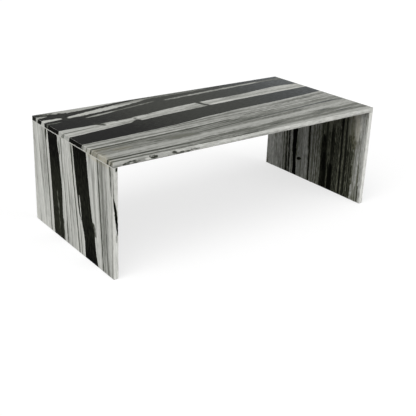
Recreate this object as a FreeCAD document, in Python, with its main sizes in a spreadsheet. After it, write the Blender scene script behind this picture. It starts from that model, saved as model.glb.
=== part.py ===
"""Striped marble coffee table in waterfall form, in millimetres.

Two upright stone slabs carry a stone top that lies over their upper ends.
Each butt joint is bedded in pale resin over steel pins, steel rods let into
the underside stiffen the long span, and felt pads stand under the legs.
+X runs along the table, -Y is the front and +Z is up.  The origin lies on the
floor, under the middle of the top.
"""

import FreeCAD
import Part
import Sketcher
import os

# Driving dimensions: alias, value in millimetres or a count, what it measures.
SIZES = [
    ("table_length", 1300.0, "overall length, over the outer faces of the legs"),
    ("table_depth", 632.0, "overall depth, front to back"),
    ("table_height", 450.0, "floor to the upper face of the top"),
    ("top_thickness", 20.0, "thickness of the top slab"),
    ("leg_thickness", 20.0, "thickness of each leg slab"),
    ("arris", 1.2, "width of the eased edge round every slab"),
    ("joint_gap", 1.0, "resin bed between the top and a leg"),
    ("resin_recess", 0.3, "depth of the joint resin below the stone faces"),
    ("pins_per_joint", 4, "steel pins in each joint"),
    ("pin_diameter", 8.0, "diameter of a joint pin"),
    ("pin_chamfer", 0.8, "chamfer at both ends of a pin"),
    ("pin_clearance", 1.0, "resin round a pin"),
    ("pin_crown", 1.0, "resin over a pin's upper end"),
    ("pin_cover", 7.0, "stone left between a pin hole and the upper face"),
    ("pin_grip", 40.0, "depth of a pin in its leg"),
    ("pin_end_distance", 76.0, "front or back edge to the nearest pin"),
    ("rod_count", 3, "stiffening rods under the top"),
    ("rod_diameter", 6.0, "diameter of a stiffening rod"),
    ("rod_side_clearance", 1.0, "resin on each side of a rod in its groove"),
    ("rod_top_clearance", 1.0, "resin over a rod in its groove"),
    ("rod_cover", 2.0, "resin under a rod, up to the underside"),
    ("rod_setback", 60.0, "inner face of a leg to the end of a groove"),
    ("rod_end_distance", 96.0, "front or back edge to the nearest rod"),
    ("pads_per_leg", 3, "felt pads under each leg"),
    ("pad_diameter", 16.0, "diameter of a felt pad"),
    ("pad_thickness", 2.0, "thickness of a felt pad"),
    ("pad_edge", 0.6, "rounding of a pad's lower edge"),
    ("pad_end_distance", 36.0, "front or back edge to the nearest pad"),
]

# Lengths and places that several pieces share.
HALF_LEG = "Sizes.leg_thickness / 2"
LEG_CENTRE = f"(Sizes.table_length / 2 - {HALF_LEG})"
UNDERSIDE = "(Sizes.table_height - Sizes.top_thickness)"
LEG_TOP = f"({UNDERSIDE} - Sizes.joint_gap)"
LEG_HEIGHT = f"({LEG_TOP} - Sizes.pad_thickness)"
PIN_HOLE = "(Sizes.pin_diameter + 2 * Sizes.pin_clearance)"
PIN_HOLE_RISE = "(Sizes.top_thickness - Sizes.pin_cover)"
PIN_LENGTH = f"(Sizes.pin_grip + Sizes.joint_gap + {PIN_HOLE_RISE} - Sizes.pin_crown)"
PIN_SPREAD = "(Sizes.table_depth - 2 * Sizes.pin_end_distance)"
GROOVE_LENGTH = f"(2 * {LEG_CENTRE} - Sizes.leg_thickness - 2 * Sizes.rod_setback)"
GROOVE_WIDTH = "(Sizes.rod_diameter + 2 * Sizes.rod_side_clearance)"
GROOVE_DEPTH = "(Sizes.rod_cover + Sizes.rod_diameter + Sizes.rod_top_clearance)"
ROD_HEIGHT = "(Sizes.rod_cover + Sizes.rod_diameter / 2)"
ROD_SPREAD = "(Sizes.table_depth - 2 * Sizes.rod_end_distance)"
PAD_SPREAD = "(Sizes.table_depth - 2 * Sizes.pad_end_distance)"

# The sign of each side's places along X.
SIDES = {"left": "-", "right": ""}

doc = FreeCAD.newDocument("MarbleCoffeeTable")


def make_sheet():
    """Fills the spreadsheet that holds the driving dimensions."""
    sizes = doc.addObject("Spreadsheet::Sheet", "Sizes")
    for row, (alias, value, meaning) in enumerate(SIZES, start=1):
        sizes.set(f"A{row}", meaning)
        sizes.set(f"B{row}", str(value))
        sizes.setAlias(f"B{row}", alias)
    doc.recompute()
    return sizes


sheet = make_sheet()


def new_body(label, x="0", y="0", z="0", turned=False):
    """A body for one piece, at a place bound to the sheet, turned to face -X if asked."""
    body = doc.addObject("PartDesign::Body", label)
    body.Label = label
    if turned:
        body.Placement.Rotation = FreeCAD.Rotation(FreeCAD.Vector(0, 0, 1), 180)
    for axis, expression in (("x", x), ("y", y), ("z", z)):
        body.setExpression(f".Placement.Base.{axis}", expression)
    return body


def new_sketch(body, name, role, **shift):
    """An empty sketch on one of the body's own planes, moved in that plane's axes."""
    sketch = body.newObject("Sketcher::SketchObject", name)
    plane = next(f for f in body.Origin.OriginFeatures if f.Role == role)
    sketch.AttachmentSupport = [(plane, "")]
    sketch.MapMode = "FlatFace"
    for axis, expression in shift.items():
        sketch.setExpression(f".AttachmentOffset.Base.{axis}", expression)
    return sketch


def drive(sketch, name, expression, kind, *points):
    """Adds a dimension to a sketch and ties it to the sheet."""
    value = float(sheet.evalExpression(expression))
    index = sketch.addConstraint(Sketcher.Constraint(kind, *points, value))
    sketch.renameConstraint(index, name)
    sketch.setExpression(f"Constraints.{name}", expression)


def draw_lines(sketch, points):
    """Draws a closed run of lines through points."""
    count = len(points)
    for i in range(count):
        sketch.addGeometry(Part.LineSegment(points[i], points[(i + 1) % count]))
    for i in range(count):
        sketch.addConstraint(Sketcher.Constraint("Coincident", i, 2, (i + 1) % count, 1))


def draw_outline(sketch, corners):
    """Draws a closed outline through corners given as pairs of expressions."""
    draw_lines(sketch, [FreeCAD.Vector(*map(sheet.evalExpression, corner), 0) for corner in corners])
    for i, (across, along) in enumerate(corners):
        drive(sketch, f"across{i + 1}", across, "DistanceX", -1, 1, i, 1)
        drive(sketch, f"along{i + 1}", along, "DistanceY", -1, 1, i, 1)


def draw_rectangle(sketch, width, height):
    """Draws a rectangle about the sketch's own origin."""
    half_width = sheet.evalExpression(f"({width}) / 2")
    half_height = sheet.evalExpression(f"({height}) / 2")
    corners = [(-1, -1), (1, -1), (1, 1), (-1, 1)]
    points = [FreeCAD.Vector(a * half_width, b * half_height, 0) for a, b in corners]
    draw_lines(sketch, points)
    for i in range(len(points)):
        sketch.addConstraint(Sketcher.Constraint("Vertical" if i % 2 else "Horizontal", i))
    sketch.addConstraint(Sketcher.Constraint("Symmetric", 0, 1, 2, 1, -1, 1))
    drive(sketch, "width", width, "DistanceX", 0, 1, 0, 2)
    drive(sketch, "height", height, "DistanceY", 1, 1, 1, 2)


def draw_circle(sketch, diameter):
    """Draws a circle about the sketch's own origin."""
    radius = sheet.evalExpression(f"({diameter}) / 2")
    sketch.addGeometry(Part.Circle(FreeCAD.Vector(), FreeCAD.Vector(0, 0, 1), radius))
    sketch.addConstraint(Sketcher.Constraint("Coincident", 0, 3, -1, 1))
    drive(sketch, "diameter", diameter, "Diameter", 0)


def sweep(body, kind, name, sketch, length, symmetric=False, reverse=False):
    """Pads or pockets a sketch by a length bound to the sheet."""
    feature = body.newObject(f"PartDesign::{kind}", name)
    feature.Profile = sketch
    feature.setExpression("Length", length)
    feature.SideType = "Symmetric" if symmetric else "One side"
    feature.Reversed = reverse
    doc.recompute()
    return feature


def repeat(body, name, feature, sketch, spread, count, both_ends=False):
    """Repeats a feature from front to back, and from leg to leg if asked."""
    pattern = body.newObject("PartDesign::LinearPattern", name)
    pattern.Originals = [feature]
    pattern.Direction = (sketch, ["V_Axis"])
    pattern.setExpression("Length", spread)
    pattern.setExpression("Occurrences", count)
    if both_ends:
        pattern.Direction2 = (sketch, ["H_Axis"])
        pattern.setExpression("Length2", f"2 * {LEG_CENTRE}")
        pattern.Occurrences2 = 2
    body.Tip = pattern
    doc.recompute()
    return pattern


def ease(body, name, kind, feature, edges, size_property, size):
    """Chamfers or rounds edges of a feature, or all its edges where none are named."""
    eased = body.newObject(f"PartDesign::{kind}", name)
    eased.Base = (feature, edges)
    eased.UseAllEdges = not edges
    eased.setExpression(size_property, size)
    doc.recompute()
    return eased


def make_slab(label, width, height, thickness, x="0", z="0"):
    """A stone slab with every edge eased, standing on its own XY plane."""
    body = new_body(label, x=x, z=z)
    outline = new_sketch(body, f"{label}_outline", "XY_Plane")
    draw_rectangle(outline, width, height)
    block = sweep(body, "Pad", f"{label}_block", outline, thickness)
    ease(body, f"{label}_arris", "Chamfer", block, [], "Size", "Sizes.arris")
    return body


def make_top():
    """The top slab, with blind pin holes at both ends and grooves for the rods."""
    label = "top_slab"
    body = make_slab(label, "Sizes.table_length", "Sizes.table_depth", "Sizes.top_thickness", z=UNDERSIDE)
    mouth = new_sketch(body, f"{label}_pin_mouth", "XY_Plane", x=f"-{LEG_CENTRE}", y=f"-{PIN_SPREAD} / 2")
    draw_circle(mouth, PIN_HOLE)
    hole = sweep(body, "Pocket", f"{label}_pin_hole", mouth, PIN_HOLE_RISE, reverse=True)
    repeat(body, f"{label}_pin_holes", hole, mouth, PIN_SPREAD, "Sizes.pins_per_joint", both_ends=True)
    slot = new_sketch(body, f"{label}_rod_slot", "XY_Plane", y=f"-{ROD_SPREAD} / 2")
    draw_rectangle(slot, GROOVE_LENGTH, GROOVE_WIDTH)
    groove = sweep(body, "Pocket", f"{label}_rod_groove", slot, GROOVE_DEPTH, reverse=True)
    repeat(body, f"{label}_rod_grooves", groove, slot, ROD_SPREAD, "Sizes.rod_count")
    return body


def make_leg(side):
    """One leg slab, with a row of blind pin holes in its upper end."""
    label = f"{side}_leg_slab"
    body = make_slab(
        label, "Sizes.leg_thickness", "Sizes.table_depth", LEG_HEIGHT,
        x=f"{SIDES[side]}{LEG_CENTRE}", z="Sizes.pad_thickness",
    )
    mouth = new_sketch(body, f"{label}_pin_mouth", "XY_Plane", y=f"-{PIN_SPREAD} / 2", z=LEG_HEIGHT)
    draw_circle(mouth, PIN_HOLE)
    hole = sweep(body, "Pocket", f"{label}_pin_hole", mouth, "Sizes.pin_grip")
    repeat(body, f"{label}_pin_holes", hole, mouth, PIN_SPREAD, "Sizes.pins_per_joint")
    return body


def make_joint_resin(side):
    """The cured resin of one joint: a bed that fills the eased edges, and sleeves round the pins.

    The body's +X points outwards and its XY plane is the upper end of the leg.
    """
    label = f"{side}_joint_resin"
    body = new_body(label, x=f"{SIDES[side]}{LEG_CENTRE}", z=LEG_TOP, turned=side == "left")
    face = f"({HALF_LEG} - Sizes.resin_recess)"
    flat = f"({HALF_LEG} - Sizes.arris)"
    dip = "(Sizes.arris - Sizes.resin_recess)"
    section = new_sketch(body, f"{label}_section", "XZ_Plane")
    draw_outline(section, [
        (face, f"-{dip}"),
        (face, f"Sizes.joint_gap + {dip}"),
        (flat, "Sizes.joint_gap"),
        (f"-{face}", "Sizes.joint_gap"),
        (f"-{face}", f"-{dip}"),
        (f"-{flat}", "0"),
        (flat, "0"),
    ])
    sweep(body, "Pad", f"{label}_bed", section, "Sizes.table_depth - 2 * Sizes.arris", symmetric=True)
    ring = new_sketch(body, f"{label}_ring", "XY_Plane", y=f"-{PIN_SPREAD} / 2", z="-Sizes.pin_grip")
    draw_circle(ring, PIN_HOLE)
    sleeve_height = f"Sizes.pin_grip + Sizes.joint_gap + {PIN_HOLE_RISE}"
    sleeve = sweep(body, "Pad", f"{label}_sleeve", ring, sleeve_height)
    repeat(body, f"{label}_sleeves", sleeve, ring, PIN_SPREAD, "Sizes.pins_per_joint")
    bore = new_sketch(body, f"{label}_bore", "XY_Plane", y=f"-{PIN_SPREAD} / 2", z="-Sizes.pin_grip")
    draw_circle(bore, "Sizes.pin_diameter")
    cut = sweep(body, "Pocket", f"{label}_pin_bore", bore, PIN_LENGTH, reverse=True)
    repeat(body, f"{label}_pin_bores", cut, bore, PIN_SPREAD, "Sizes.pins_per_joint")
    return body


def spaced(index, count, spread):
    """The place of one of several pieces spread evenly from front to back."""
    return f"({index} / max(Sizes.{count} - 1; 1) - 1 / 2) * {spread}"


def is_circle(edge):
    """Whether an edge is a full circle."""
    return isinstance(edge.Curve, Part.Circle)


def make_pin(side, index):
    """One steel pin, standing on the floor of its hole in the leg."""
    label = f"{side}_joint_pin_{index + 1}"
    body = new_body(
        label, x=f"{SIDES[side]}{LEG_CENTRE}", y=spaced(index, "pins_per_joint", PIN_SPREAD),
        z=f"{LEG_TOP} - Sizes.pin_grip",
    )
    section = new_sketch(body, f"{label}_section", "XY_Plane")
    draw_circle(section, "Sizes.pin_diameter")
    bar = sweep(body, "Pad", f"{label}_bar", section, PIN_LENGTH)
    ends = [f"Edge{i}" for i, e in enumerate(bar.Shape.Edges, start=1) if is_circle(e)]
    ease(body, f"{label}_ends", "Chamfer", bar, ends, "Size", "Sizes.pin_chamfer")
    return body


def make_rod(index):
    """One stiffening rod, lying in its groove under the top."""
    label = f"stiffening_rod_{index + 1}"
    body = new_body(label, y=spaced(index, "rod_count", ROD_SPREAD), z=f"{UNDERSIDE} + {ROD_HEIGHT}")
    section = new_sketch(body, f"{label}_section", "YZ_Plane")
    draw_circle(section, "Sizes.rod_diameter")
    sweep(body, "Pad", f"{label}_bar", section, GROOVE_LENGTH, symmetric=True)
    return body


def make_rod_resin(index):
    """The resin that fills a groove round its rod, flush with the underside."""
    label = f"rod_resin_{index + 1}"
    body = new_body(label, y=spaced(index, "rod_count", ROD_SPREAD), z=UNDERSIDE)
    outline = new_sketch(body, f"{label}_outline", "XY_Plane")
    draw_rectangle(outline, GROOVE_LENGTH, GROOVE_WIDTH)
    sweep(body, "Pad", f"{label}_fill", outline, GROOVE_DEPTH)
    bore = new_sketch(body, f"{label}_bore", "YZ_Plane", y=ROD_HEIGHT)
    draw_circle(bore, "Sizes.rod_diameter")
    sweep(body, "Pocket", f"{label}_rod_bore", bore, GROOVE_LENGTH, symmetric=True)
    return body


def make_pad(side, index):
    """One felt pad under a leg, with its lower edge rounded."""
    label = f"{side}_foot_pad_{index + 1}"
    body = new_body(label, x=f"{SIDES[side]}{LEG_CENTRE}", y=spaced(index, "pads_per_leg", PAD_SPREAD))
    outline = new_sketch(body, f"{label}_outline", "XY_Plane")
    draw_circle(outline, "Sizes.pad_diameter")
    disc = sweep(body, "Pad", f"{label}_disc", outline, "Sizes.pad_thickness")
    low = min(disc.Shape.Edges, key=lambda e: e.BoundBox.ZMax)
    lower = [f"Edge{i}" for i, e in enumerate(disc.Shape.Edges, start=1) if e.isSame(low)]
    ease(body, f"{label}_edge", "Fillet", disc, lower, "Radius", "Sizes.pad_edge")
    return body


def make_table():
    """Builds every piece of the table."""
    pieces = [make_top()]
    for side in SIDES:
        pieces.append(make_leg(side))
        pieces.append(make_joint_resin(side))
        pieces += [make_pin(side, i) for i in range(int(sheet.pins_per_joint))]
        pieces += [make_pad(side, i) for i in range(int(sheet.pads_per_leg))]
    for i in range(int(sheet.rod_count)):
        pieces.append(make_rod(i))
        pieces.append(make_rod_resin(i))
    doc.recompute()
    return pieces


def check(pieces):
    """Stops the build if an object failed, or a piece isn't one valid solid."""
    failed = [o.Label for o in doc.Objects if {"Invalid", "Error"} & set(o.State)]
    for piece in pieces:
        shape = piece.Shape
        if shape.isNull() or not shape.isValid() or len(shape.Solids) != 1:
            failed.append(piece.Label)
    if failed:
        raise SystemExit(f"not built: {sorted(set(failed))}")


def write(pieces):
    """Writes one STEP file for each piece, named after it."""
    os.makedirs("parts", exist_ok=True)
    for piece in pieces:
        piece.Shape.exportStep(f"parts/{piece.Label}.step")
        print(f"{piece.Label}: {piece.Shape.Volume / 1000:.2f} cm3")


table = make_table()
check(table)
write(table)
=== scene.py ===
"""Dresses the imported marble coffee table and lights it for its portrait.

The stone slabs and the felt pads are modelled anew and stand for their CAD
nodes, and a hand-drawn line of resin lies in each joint.  The joint resin, the
pins, the rods and their filling keep their CAD meshes and get finishes of their
own.  The stone is painted by shader nodes in slab coordinates: along the veins,
across them, and down from the face that the camera sees.
"""

from __future__ import annotations

import logging
import math
from collections.abc import Sequence
from dataclasses import dataclass
from enum import Enum
from typing import ClassVar

import bmesh
import bpy
from bmesh.types import BMesh, BMVert
from bpy.types import Material, Node, NodeOutputs, NodeSocket, NodeTree, Object
from mathutils import Matrix, Vector, noise


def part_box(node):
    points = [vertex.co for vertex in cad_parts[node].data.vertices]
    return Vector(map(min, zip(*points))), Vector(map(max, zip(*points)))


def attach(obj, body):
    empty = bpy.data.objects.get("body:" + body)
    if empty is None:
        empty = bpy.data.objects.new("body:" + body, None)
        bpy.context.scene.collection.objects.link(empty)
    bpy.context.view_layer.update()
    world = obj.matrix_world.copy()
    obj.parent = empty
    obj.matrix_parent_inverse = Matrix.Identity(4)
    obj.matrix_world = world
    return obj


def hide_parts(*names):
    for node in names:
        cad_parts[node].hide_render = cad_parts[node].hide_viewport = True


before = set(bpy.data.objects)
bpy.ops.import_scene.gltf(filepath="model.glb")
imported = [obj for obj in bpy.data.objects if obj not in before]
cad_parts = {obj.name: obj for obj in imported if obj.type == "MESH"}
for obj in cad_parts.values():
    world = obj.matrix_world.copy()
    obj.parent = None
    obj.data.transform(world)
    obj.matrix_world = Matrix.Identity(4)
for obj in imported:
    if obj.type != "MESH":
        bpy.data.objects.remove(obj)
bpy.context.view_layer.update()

log = logging.getLogger("coffee_table")

MM = 0.001
BODY = "root"
WHITE = (1.0, 1.0, 1.0)
NOISE_GAIN = 4.0

Colour = tuple[float, float, float]
Place = tuple[float, float, float]
Station = tuple[float, float]
Value = float | Sequence[float] | NodeSocket


class Side(Enum):
    """The two ends of the table, with the sign of their places along X."""

    LEFT = -1
    RIGHT = 1

    @property
    def word(self) -> str:
        """The side's name in the names of nodes and pieces."""
        return self.name.lower()


class Slot(Enum):
    """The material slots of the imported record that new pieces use."""

    MARBLE = "marble"
    RESIN = "joint_resin"
    FELT = "felt"


class Kind(Enum):
    """What a socket of a node group carries."""

    VALUE = "NodeSocketFloat"
    VECTOR = "NodeSocketVector"


class Ease(Enum):
    """How a remapped value runs: easing in and stopping at both ends, or straight on past them."""

    SMOOTH = "SMOOTHSTEP"
    STRAIGHT = "LINEAR"


class Lay(Enum):
    """How one colour is laid over another."""

    COVER = "MIX"
    TINT = "MULTIPLY"


class Reading(Enum):
    """What a vector stands for when it is turned into slab axes."""

    PLACE = "POINT"
    DIRECTION = "VECTOR"


class Bars(Enum):
    """Which way steel bars lie, with the cells to a metre of the lines that drawing left on them."""

    UPRIGHT = (900.0, 900.0, 12.0)
    LENGTHWISE = (12.0, 900.0, 900.0)


# Shader nodes


@dataclass(frozen=True)
class Texture:
    """A noise: its cells to a metre along each axis, its finer layers, and how strong they are."""

    cells: Place
    detail: float = 2.0
    roughness: float = 0.5


class Shader:
    """A node tree being wired, with a short call for each kind of node it uses."""

    def __init__(self, tree: NodeTree) -> None:
        """Starts from the emptied tree of a material, a world or a group."""
        self.tree = tree
        tree.nodes.clear()

    def feed(self, target: NodeSocket, value: Value) -> None:
        """Links a socket to an input, or sets a plain value on it.

        Args:
            target: the input to feed.
            value: the socket or the plain value; a colour has no alpha.
        """
        if isinstance(value, NodeSocket):
            self.tree.links.new(value, target)
        elif target.type == "RGBA":
            target.default_value = (*value, 1.0)
        else:
            target.default_value = value

    def node(self, kind: str, inputs: dict | None = None, **options: object) -> Node:
        """Adds a node.

        Args:
            kind: the node's Blender type.
            inputs: what each input gets, by name or number.
            options: the node's own properties.

        Returns:
            The new node.
        """
        made = self.tree.nodes.new(kind)
        for name, value in options.items():
            setattr(made, name, value)
        for key, value in (inputs or {}).items():
            self.feed(made.inputs[key], value)
        return made

    def math(self, operation: str, *values: Value) -> NodeSocket:
        """The result of a Math node."""
        return self.node("ShaderNodeMath", dict(enumerate(values)), operation=operation).outputs[0]

    def vector(self, operation: str, *values: Value) -> NodeSocket:
        """The result of a Vector Math node."""
        return self.node("ShaderNodeVectorMath", dict(enumerate(values)), operation=operation).outputs[0]

    def split(self, vector: Value) -> NodeOutputs:
        """The three parts of a vector."""
        return self.node("ShaderNodeSeparateXYZ", {0: vector}).outputs

    def remap(
        self, value: Value, low: Value, high: Value, start: Value = 0.0, end: Value = 1.0,
        ease: Ease = Ease.SMOOTH,
    ) -> NodeSocket:
        """Maps one range of a value to another.

        Args:
            value: the value to map.
            low: where its range starts.
            high: where its range ends.
            start: what low becomes.
            end: what high becomes.
            ease: how it runs between them.

        Returns:
            The mapped value's socket.
        """
        inputs = {"Value": value, "From Min": low, "From Max": high, "To Min": start, "To Max": end}
        made = self.node("ShaderNodeMapRange", inputs, interpolation_type=ease.value, clamp=False)
        return made.outputs[0]

    def mix(self, factor: Value, first: Value, second: Value) -> NodeSocket:
        """Mixes two values: the first at 0, the second at 1."""
        # The Mix node repeats its sockets' names for each kind of data, so they go by number.
        return self.node("ShaderNodeMix", {0: factor, 2: first, 3: second}, data_type="FLOAT").outputs[0]

    def blend(self, factor: Value, first: Value, second: Value, lay: Lay = Lay.COVER) -> NodeSocket:
        """Mixes two colours: the first at 0, the second laid over it at 1."""
        inputs = {0: factor, 6: first, 7: second}
        return self.node("ShaderNodeMix", inputs, data_type="RGBA", blend_type=lay.value).outputs[2]

    def noise(self, place: Value, texture: Texture) -> NodeSocket:
        """Noise about zero, mostly between -1 and 1; the node's own lies about a half.

        Args:
            place: where the noise is read.
            texture: what it is like.

        Returns:
            The noise's socket.
        """
        inputs = {
            "Vector": self.vector("MULTIPLY", place, texture.cells),
            "Scale": 1.0,
            "Detail": texture.detail,
            "Roughness": texture.roughness,
        }
        raw = self.node("ShaderNodeTexNoise", inputs).outputs[0]
        return self.math("MULTIPLY_ADD", raw, NOISE_GAIN, -NOISE_GAIN / 2)

    def bump(self, strength: float, distance: float, height: Value) -> NodeSocket:
        """A normal that a height roughens, over a distance in millimetres."""
        inputs = {"Strength": strength, "Distance": distance * MM, "Height": height}
        return self.node("ShaderNodeBump", inputs).outputs[0]

    def curve(self, value: Value, stations: Sequence[Station], unit: float = 1.0) -> NodeSocket:
        """A smooth curve through given stations.

        Args:
            value: the place along the curve, in metres.
            stations: pairs of place, in millimetres, and height.
            unit: what a height is counted in.

        Returns:
            The socket of the height at that place.
        """
        made = self.node("ShaderNodeFloatCurve", {"Value": value})
        mapping = made.mapping
        mapping.use_clip = False
        mapping.extend = "HORIZONTAL"
        points = mapping.curves[0].points
        while len(points) < len(stations):
            points.new(0.0, 0.0)
        for point, (place, height) in zip(points, stations):
            point.location = (place * MM, height * unit)
        mapping.update()
        return made.outputs[0]

    def ramp(self, value: Value, colours: Sequence[Colour]) -> NodeSocket:
        """A colour ramp of evenly spaced colours.

        Args:
            value: the place on the ramp.
            colours: the colours, from 0 to 1.

        Returns:
            The colour's socket.
        """
        made = self.node("ShaderNodeValToRGB", {0: value})
        elements = made.color_ramp.elements
        while len(elements) < len(colours):
            elements.new(1.0)
        for step, (element, colour) in enumerate(zip(elements, colours)):
            element.position = step / (len(colours) - 1)
            element.color = (*colour, 1.0)
        return made.outputs[0]


class Effect:
    """A shader node group that materials share: built once, then placed with its own values.

    Its sockets are named for what it takes and gives.  Those named among the
    vectors carry a vector, the others a value.
    """

    takes: ClassVar[tuple[str, ...]]
    gives: ClassVar[tuple[str, ...]]
    vectors: ClassVar[tuple[str, ...]] = ("Position", "Layer", "Normal", "Middle", "Half Size")

    @classmethod
    def wire(cls, shader: Shader, given: NodeOutputs) -> dict[str, NodeSocket]:
        """Wires the group's inside."""
        raise NotImplementedError

    @classmethod
    def tree(cls) -> NodeTree:
        """Builds the group, or finds it where it was built before.

        Returns:
            The group's tree.
        """
        found = bpy.data.node_groups.get(cls.__name__)
        if found:
            return found
        tree = bpy.data.node_groups.new(cls.__name__, "ShaderNodeTree")
        for way, names in (("INPUT", cls.takes), ("OUTPUT", cls.gives)):
            for name in names:
                kind = Kind.VECTOR if name in cls.vectors else Kind.VALUE
                tree.interface.new_socket(name, in_out=way, socket_type=kind.value)
        shader = Shader(tree)
        made = cls.wire(shader, shader.node("NodeGroupInput").outputs)
        shader.node("NodeGroupOutput", made)
        return tree

    @classmethod
    def place(cls, shader: Shader, values: dict[str, Value]) -> NodeOutputs:
        """Places the group in a tree with its values, and gives its outputs."""
        return shader.node("ShaderNodeGroup", values, node_tree=cls.tree()).outputs


class StoneFlow(Effect):
    """Bends slab coordinates as the stone's layers bend: a dip, a slow sway, frayed edges and a fan."""

    takes = ("Position", "Dip", "Drift", "Fan", "Sway", "Fray")
    gives = ("Run", "Across", "Depth", "Layer")
    sway: ClassVar[Texture] = Texture((4.0, 13.0, 13.0), 1.0)
    fray: ClassVar[Texture] = Texture((30.0, 130.0, 130.0), 3.0, 0.6)

    @classmethod
    def wire(cls, shader: Shader, given: NodeOutputs) -> dict[str, NodeSocket]:
        """Dips, sways and frays the place across the slab.

        Args:
            shader: the group's tree.
            given: the sockets of the group's inputs.

        Returns:
            The socket behind each output, by name.
        """
        run, across, depth = shader.split(given["Position"])
        across = shader.math("MULTIPLY_ADD", depth, given["Dip"], across)
        sway = shader.noise(given["Position"], cls.sway)
        across = shader.math("MULTIPLY_ADD", sway, given["Sway"], across)
        fray = shader.noise(given["Position"], cls.fray)
        slope = shader.math("MULTIPLY_ADD", across, given["Fan"], given["Drift"])
        level = shader.math("SUBTRACT", across, shader.math("MULTIPLY", run, slope))
        layer = shader.node("ShaderNodeCombineXYZ", {0: run, 1: level, 2: depth}).outputs[0]
        frayed = shader.math("MULTIPLY_ADD", fray, given["Fray"], across)
        return {"Run": run, "Across": frayed, "Depth": depth, "Layer": layer}


class StoneGrain(Effect):
    """The stone's fine structure: drawn-out lines, dark threads, and noises from clouds to crystals."""

    takes = ("Layer",)
    lines: ClassVar[Texture] = Texture((0.9, 62.0, 50.0), 5.0, 0.72)
    threads: ClassVar[Texture] = Texture((0.8, 33.0, 25.0), 3.0, 0.55)
    patches: ClassVar[Texture] = Texture((5.0, 22.0, 22.0))
    plain: ClassVar[dict[str, Texture]] = {
        "Mottle": Texture((40.0, 105.0, 105.0), 3.0, 0.6),
        "Dashes": Texture((34.0, 300.0, 200.0), 2.0, 0.6),
        "Flecks": Texture((70.0, 70.0, 190.0), 3.0, 0.65),
        "Clouds": Texture((9.0, 30.0, 30.0), 3.0, 0.6),
        "Sugar": Texture((480.0, 620.0, 620.0), 1.0),
    }
    gives = ("Lines", "Threads", *plain)
    pale_share: ClassVar[float] = 0.55
    thread_edge: ClassVar[Station] = (0.02, 0.15)
    patch_edge: ClassVar[Station] = (-0.5, 0.5)

    @classmethod
    def wire(cls, shader: Shader, given: NodeOutputs) -> dict[str, NodeSocket]:
        """Draws each part of the grain from a noise of its own.

        Args:
            shader: the group's tree.
            given: the sockets of the group's inputs.

        Returns:
            The socket behind each output, by name.
        """
        layer = given["Layer"]
        lines = shader.noise(layer, cls.lines)
        lines = shader.math("MINIMUM", lines, shader.math("MULTIPLY", lines, cls.pale_share))
        ridge = shader.math("ABSOLUTE", shader.noise(layer, cls.threads))
        patches = shader.noise(layer, cls.patches)
        thread = shader.remap(ridge, *cls.thread_edge, 1.0, 0.0)
        thread = shader.math("MULTIPLY", thread, shader.remap(patches, *cls.patch_edge))
        plain = {name: shader.noise(layer, texture) for name, texture in cls.plain.items()}
        return {"Lines": lines, "Threads": thread, **plain}


class StoneBreaks(Effect):
    """Turns a noise into what breaks veins up: the raggedness of their edges, and where they are whole."""

    takes = ("Patches",)
    gives = ("Ragged", "Whole")
    raggedness: ClassVar[float] = 0.35
    whole_edge: ClassVar[Station] = (-0.5, 0.4)

    @classmethod
    def wire(cls, shader: Shader, given: NodeOutputs) -> dict[str, NodeSocket]:
        """Turns the patches into a share of a vein's width, and a mask."""
        ragged = shader.math("MULTIPLY_ADD", given["Patches"], cls.raggedness, 1.0)
        return {"Ragged": ragged, "Whole": shader.remap(given["Patches"], *cls.whole_edge)}


class StoneBand(Effect):
    """Lays a band of one tone between two edges, and a paler rim outside them."""

    takes = (
        "Tone", "Across", "Near", "Far", "Softness", "Band Tone", "Rim Tone", "Rim Width", "Near Rim",
        "Far Rim",
    )
    gives = ("Tone",)
    rim_core: ClassVar[float] = 0.4

    @classmethod
    def wire(cls, shader: Shader, given: NodeOutputs) -> dict[str, NodeSocket]:
        """Lays the rim, then the band over it.

        Args:
            shader: the group's tree.
            given: the sockets of the group's inputs.

        Returns:
            The socket behind each output, by name.
        """
        past_near = shader.math("SUBTRACT", given["Across"], given["Near"])
        before_far = shader.math("SUBTRACT", given["Far"], given["Across"])
        inside = shader.math("MINIMUM", past_near, before_far)
        nearer = shader.math("LESS_THAN", past_near, before_far)
        rim = shader.mix(nearer, given["Far Rim"], given["Near Rim"])
        reach = shader.math("MULTIPLY", given["Rim Width"], -1.0)
        core = shader.math("MULTIPLY", reach, cls.rim_core)
        rim = shader.math("MULTIPLY", shader.remap(inside, reach, core), rim)
        tone = shader.mix(rim, given["Tone"], given["Rim Tone"])
        edge = shader.math("MULTIPLY", given["Softness"], -1.0)
        mask = shader.remap(inside, edge, given["Softness"])
        return {"Tone": shader.mix(mask, tone, given["Band Tone"])}


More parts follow.
